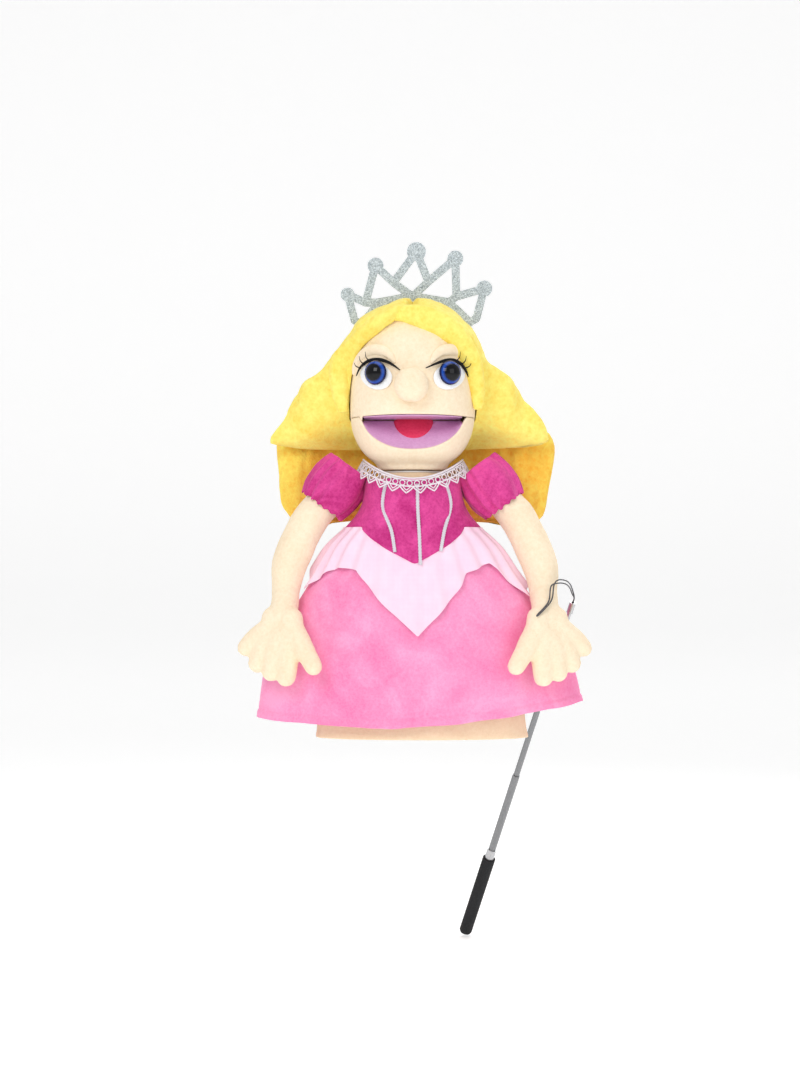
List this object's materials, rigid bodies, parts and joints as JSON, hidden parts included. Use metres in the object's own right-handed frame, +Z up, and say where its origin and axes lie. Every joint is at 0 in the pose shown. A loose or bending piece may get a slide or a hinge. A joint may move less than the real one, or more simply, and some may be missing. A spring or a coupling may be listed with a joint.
{
  "type": "hand and rod puppet",
  "caption": "Half-body plush hand puppet with a moving mouth, hinged arms and a telescopic arm rod.",
  "frame": {"origin": "centre of the hand opening at the sleeve's bottom edge", "axes": "+Z up along the body, the face looks along -Y, +X to the viewer's right"},
  "size_m": [0.3466, 0.274, 0.7253],
  "materials": {
    "fleece": "short-pile fleece",
    "foam": "open-cell foam",
    "velvet_dark": "magenta velvet",
    "velvet_pink": "pink velvet",
    "satin": "pale pink satin",
    "lace": "cotton lace",
    "braid": "silver braid",
    "tape": "hook and loop tape",
    "eye_plastic": "polished",
    "washer": "moulded",
    "white_felt": "felt",
    "thread": "thread",
    "card": "fibre board",
    "lilac": "felt",
    "tongue_red": "felt",
    "hair": "long-pile plush",
    "glitter": "glitter-coated felt",
    "steel": "brushed",
    "grip_foam": "foam rubber"
  },
  "bodies": {
    "torso": {"body_sleeve": "fleece", "chest_padding": "foam", "bodice": "velvet_dark", "skirt": "velvet_pink", "skirt_hem": "velvet_pink", "peplum": "satin", "lace_collar": "lace", "braid_left": "braid", "braid_centre": "braid", "braid_right": "braid", "puff_sleeve_left": "velvet_dark", "puff_sleeve_right": "velvet_dark", "closure_tape": "tape"},
    "neck": {"neck_tube": "fleece", "neck_cuff": "tape"},
    "head": {"head_cover": "fleece", "nape_cover": "fleece", "head_foam": "foam", "nose": "fleece", "eye_left": "eye_plastic", "eye_right": "eye_plastic", "eye_washer_left": "washer", "eye_washer_right": "washer", "eye_white_left": "white_felt", "eye_white_right": "white_felt", "eyelid_left": "fleece", "eyelid_right": "fleece", "lash_left": "thread", "lash_right": "thread", "palate_board": "card", "palate_lining": "lilac", "hair_cap": "hair", "hair_fringe_left": "hair", "hair_fringe_right": "hair", "hair_side_left": "hair", "hair_side_right": "hair", "hair_wing_left": "hair", "hair_wing_right": "hair", "hair_back": "hair", "crown": "glitter"},
    "jaw": {"jaw_cover": "fleece", "jaw_foam": "foam", "jaw_board": "card", "jaw_lining": "lilac", "tongue": "tongue_red"},
    "upper_arm_left": {"upper_arm_left": "fleece"},
    "upper_arm_right": {"upper_arm_right": "fleece"},
    "forearm_left": {"forearm_left": "fleece", "hand_left": "fleece", "wrist_clip": "steel"},
    "forearm_right": {"forearm_right": "fleece", "hand_right": "fleece"},
    "rod_tip": {"tip_crimp": "steel", "tube_inner": "steel"},
    "rod_middle": {"tube_mid": "steel"},
    "rod_grip": {"tube_outer": "steel", "ferrule": "steel", "grip": "grip_foam", "grip_cap": "grip_foam"}
  },
  "joints": [
    {"name": "neck_nod", "type": "hinge", "parent": "torso", "child": "neck", "pos_m": [-0.0045, 0, 0.262], "axis": [1, 0, 0], "range_deg": [-18, 2], "deforming": ["hair_wing_left", "hair_wing_right", "hair_back", "lace_collar"]},
    {"name": "head_turn", "type": "hinge", "parent": "neck", "child": "head", "pos_m": [-0.0045, 0, 0.262], "axis": [0, 0, 1], "range_deg": [-30, 30], "deforming": ["hair_wing_left", "hair_wing_right", "hair_back", "lace_collar"]},
    {"name": "jaw_open", "type": "hinge", "parent": "head", "child": "jaw", "pos_m": [-0.0045, -0.008, 0.317], "axis": [1, 0, 0], "range_deg": [-33, 4]},
    {"name": "shoulder_left_raise", "type": "hinge", "parent": "torso", "child": "upper_arm_left", "pos_m": [0.077, 0.002, 0.244], "axis": [0, -1, 0], "range_deg": [0, 85], "deforming": ["puff_sleeve_left"]},
    {"name": "shoulder_right_raise", "type": "hinge", "parent": "torso", "child": "upper_arm_right", "pos_m": [-0.082, 0.002, 0.244], "axis": [0, 1, 0], "range_deg": [0, 85], "deforming": ["puff_sleeve_right"]},
    {"name": "elbow_left_bend", "type": "hinge", "parent": "upper_arm_left", "child": "forearm_left", "pos_m": [0.117, -0.008, 0.188], "axis": [0, -1, 0], "range_deg": [0, 45]},
    {"name": "elbow_right_bend", "type": "hinge", "parent": "upper_arm_right", "child": "forearm_right", "pos_m": [-0.122, -0.008, 0.188], "axis": [0, 1, 0], "range_deg": [0, 45]},
    {"name": "rod_swing", "type": "hinge", "parent": "forearm_left", "child": "rod_tip", "pos_m": [0.157, 0, 0.138], "axis": [0, -1, 0], "range_deg": [-5, 55]},
    {"name": "middle_tube_slide", "type": "slide", "parent": "rod_tip", "child": "rod_middle", "axis": [0.2447, -0.4384, 0.8648], "range_m": [0, 0.075]},
    {"name": "outer_tube_slide", "type": "slide", "parent": "rod_middle", "child": "rod_grip", "axis": [0.2447, -0.4384, 0.8648], "range_m": [0, 0.075]}
  ]
}
